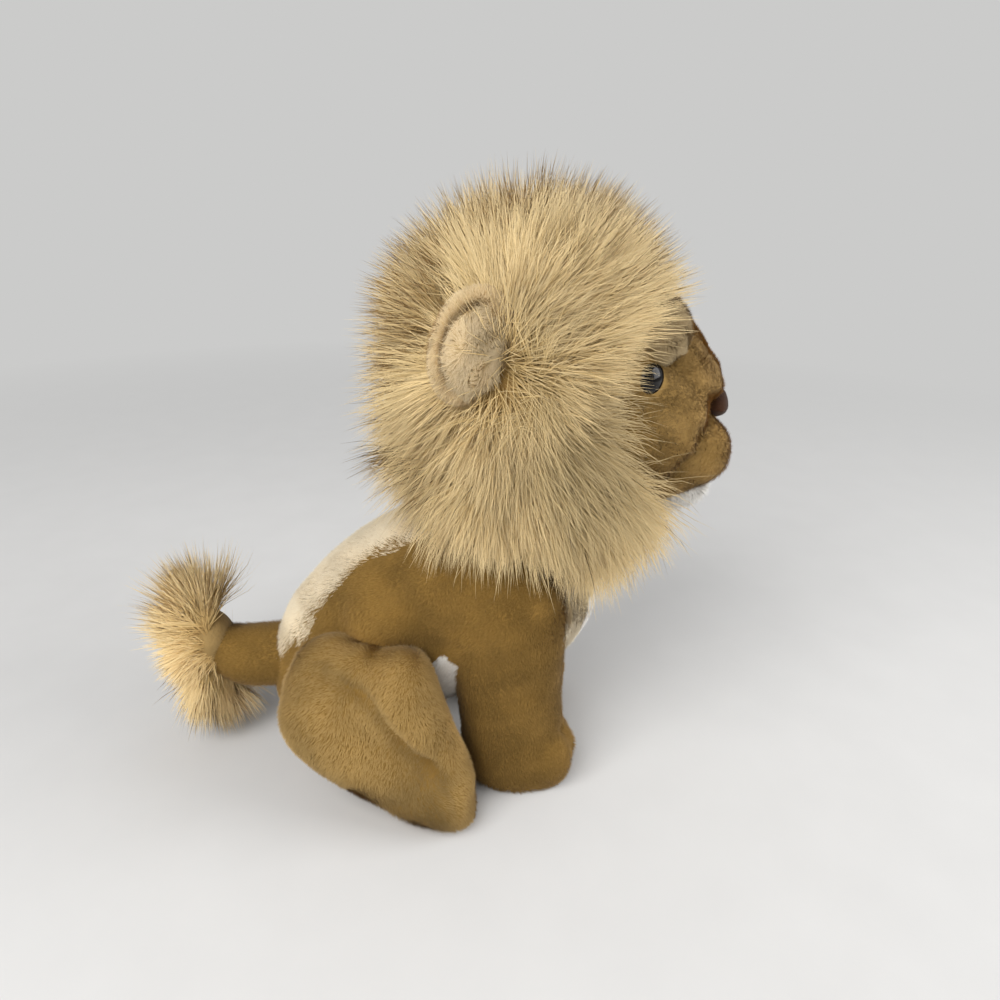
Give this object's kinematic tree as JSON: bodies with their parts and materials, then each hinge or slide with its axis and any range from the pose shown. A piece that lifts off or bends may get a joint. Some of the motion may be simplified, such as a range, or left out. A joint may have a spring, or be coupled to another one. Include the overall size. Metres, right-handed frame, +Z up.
{
  "type": "plush lion",
  "caption": "Sitting stuffed toy lion with a long-pile mane, velour body, plastic eyes and a tufted tail; head, ears, legs and tail give a little and spring back.",
  "frame": {"origin": "centre of the flat seat panel under the rump, on the surface that the toy sits on", "axes": "+Z up; the lion faces -Y; +X is the lion's own left side"},
  "size_m": [0.149, 0.2707, 0.2627],
  "materials": {
    "gold_velour": "short velvety pile",
    "mane_fur": "long fine pile",
    "cream_plush": "short cream pile",
    "pale_velour": "short pale pile",
    "white_plush": "short white pile",
    "nose_fabric": "brown suede cloth",
    "eye_plastic": "polished dark brown",
    "washer_plastic": "plain white",
    "canvas": "undyed cloth over stuffing"
  },
  "bodies": {
    "body": {"torso": "gold_velour", "seat_panel": "gold_velour", "pellet_pouch": "canvas", "belly_panel": "white_plush"},
    "neck": {"neck": "canvas"},
    "head": {"head": "gold_velour", "muzzle_left": "gold_velour", "muzzle_right": "gold_velour", "chin": "white_plush", "nose": "nose_fabric", "brow_left": "pale_velour", "brow_right": "pale_velour", "eye_left": "eye_plastic", "eye_right": "eye_plastic", "eye_washer_left": "washer_plastic", "eye_washer_right": "washer_plastic", "mane_crown": "mane_fur", "mane_back": "mane_fur", "mane_side_left": "mane_fur", "mane_side_right": "mane_fur", "mane_ruff": "mane_fur"},
    "ear_left": {"ear_back_left": "gold_velour", "ear_lining_left": "cream_plush"},
    "ear_right": {"ear_back_right": "gold_velour", "ear_lining_right": "cream_plush"},
    "front_leg_left": {"front_leg_left": "gold_velour"},
    "front_leg_right": {"front_leg_right": "gold_velour"},
    "hind_leg_left": {"haunch_left": "gold_velour", "hind_foot_left": "gold_velour"},
    "hind_leg_right": {"haunch_right": "gold_velour", "hind_foot_right": "gold_velour"},
    "tail": {"tail": "gold_velour", "tail_tuft": "mane_fur"}
  },
  "joints": [
    {"name": "head_nod", "type": "hinge", "parent": "body", "child": "neck", "pos_m": [0, -0.065, 0.10501], "axis": [1, 0, 0], "range_deg": [-6, 8], "stiffness_Nm_per_rad": 6},
    {"name": "head_turn", "type": "hinge", "parent": "neck", "child": "head", "pos_m": [0, -0.065, 0.10501], "axis": [0, 0, 1], "range_deg": [-15, 15], "stiffness_Nm_per_rad": 3},
    {"name": "ear_left_flop", "type": "hinge", "parent": "head", "child": "ear_left", "pos_m": [0.04452, -0.06603, 0.20431], "axis": [-0.076, -0.265, 0.9613], "range_deg": [-12, 8], "stiffness_Nm_per_rad": 0.05},
    {"name": "ear_right_flop", "type": "hinge", "parent": "head", "child": "ear_right", "pos_m": [-0.04452, -0.06603, 0.20431], "axis": [0.076, -0.265, 0.9613], "range_deg": [-8, 12], "stiffness_Nm_per_rad": 0.05},
    {"name": "front_leg_left_swing", "type": "hinge", "parent": "body", "child": "front_leg_left", "pos_m": [0.0304, -0.07101, 0.08], "axis": [1, 0, 0], "range_deg": [-15, 3], "stiffness_Nm_per_rad": 4},
    {"name": "front_leg_right_swing", "type": "hinge", "parent": "body", "child": "front_leg_right", "pos_m": [-0.0304, -0.07101, 0.08], "axis": [1, 0, 0], "range_deg": [-15, 3], "stiffness_Nm_per_rad": 4},
    {"name": "hind_leg_left_swing", "type": "hinge", "parent": "body", "child": "hind_leg_left", "pos_m": [0.04901, -0.01001, 0.053], "axis": [1, 0, 0], "range_deg": [-18, 0], "stiffness_Nm_per_rad": 4},
    {"name": "hind_leg_right_swing", "type": "hinge", "parent": "body", "child": "hind_leg_right", "pos_m": [-0.04901, -0.01001, 0.053], "axis": [1, 0, 0], "range_deg": [-18, 0], "stiffness_Nm_per_rad": 4},
    {"name": "tail_wag", "type": "hinge", "parent": "body", "child": "tail", "pos_m": [0, 0.0405, 0.04501], "axis": [0, 0, 1], "range_deg": [-22, 22], "stiffness_Nm_per_rad": 1}
  ]
}
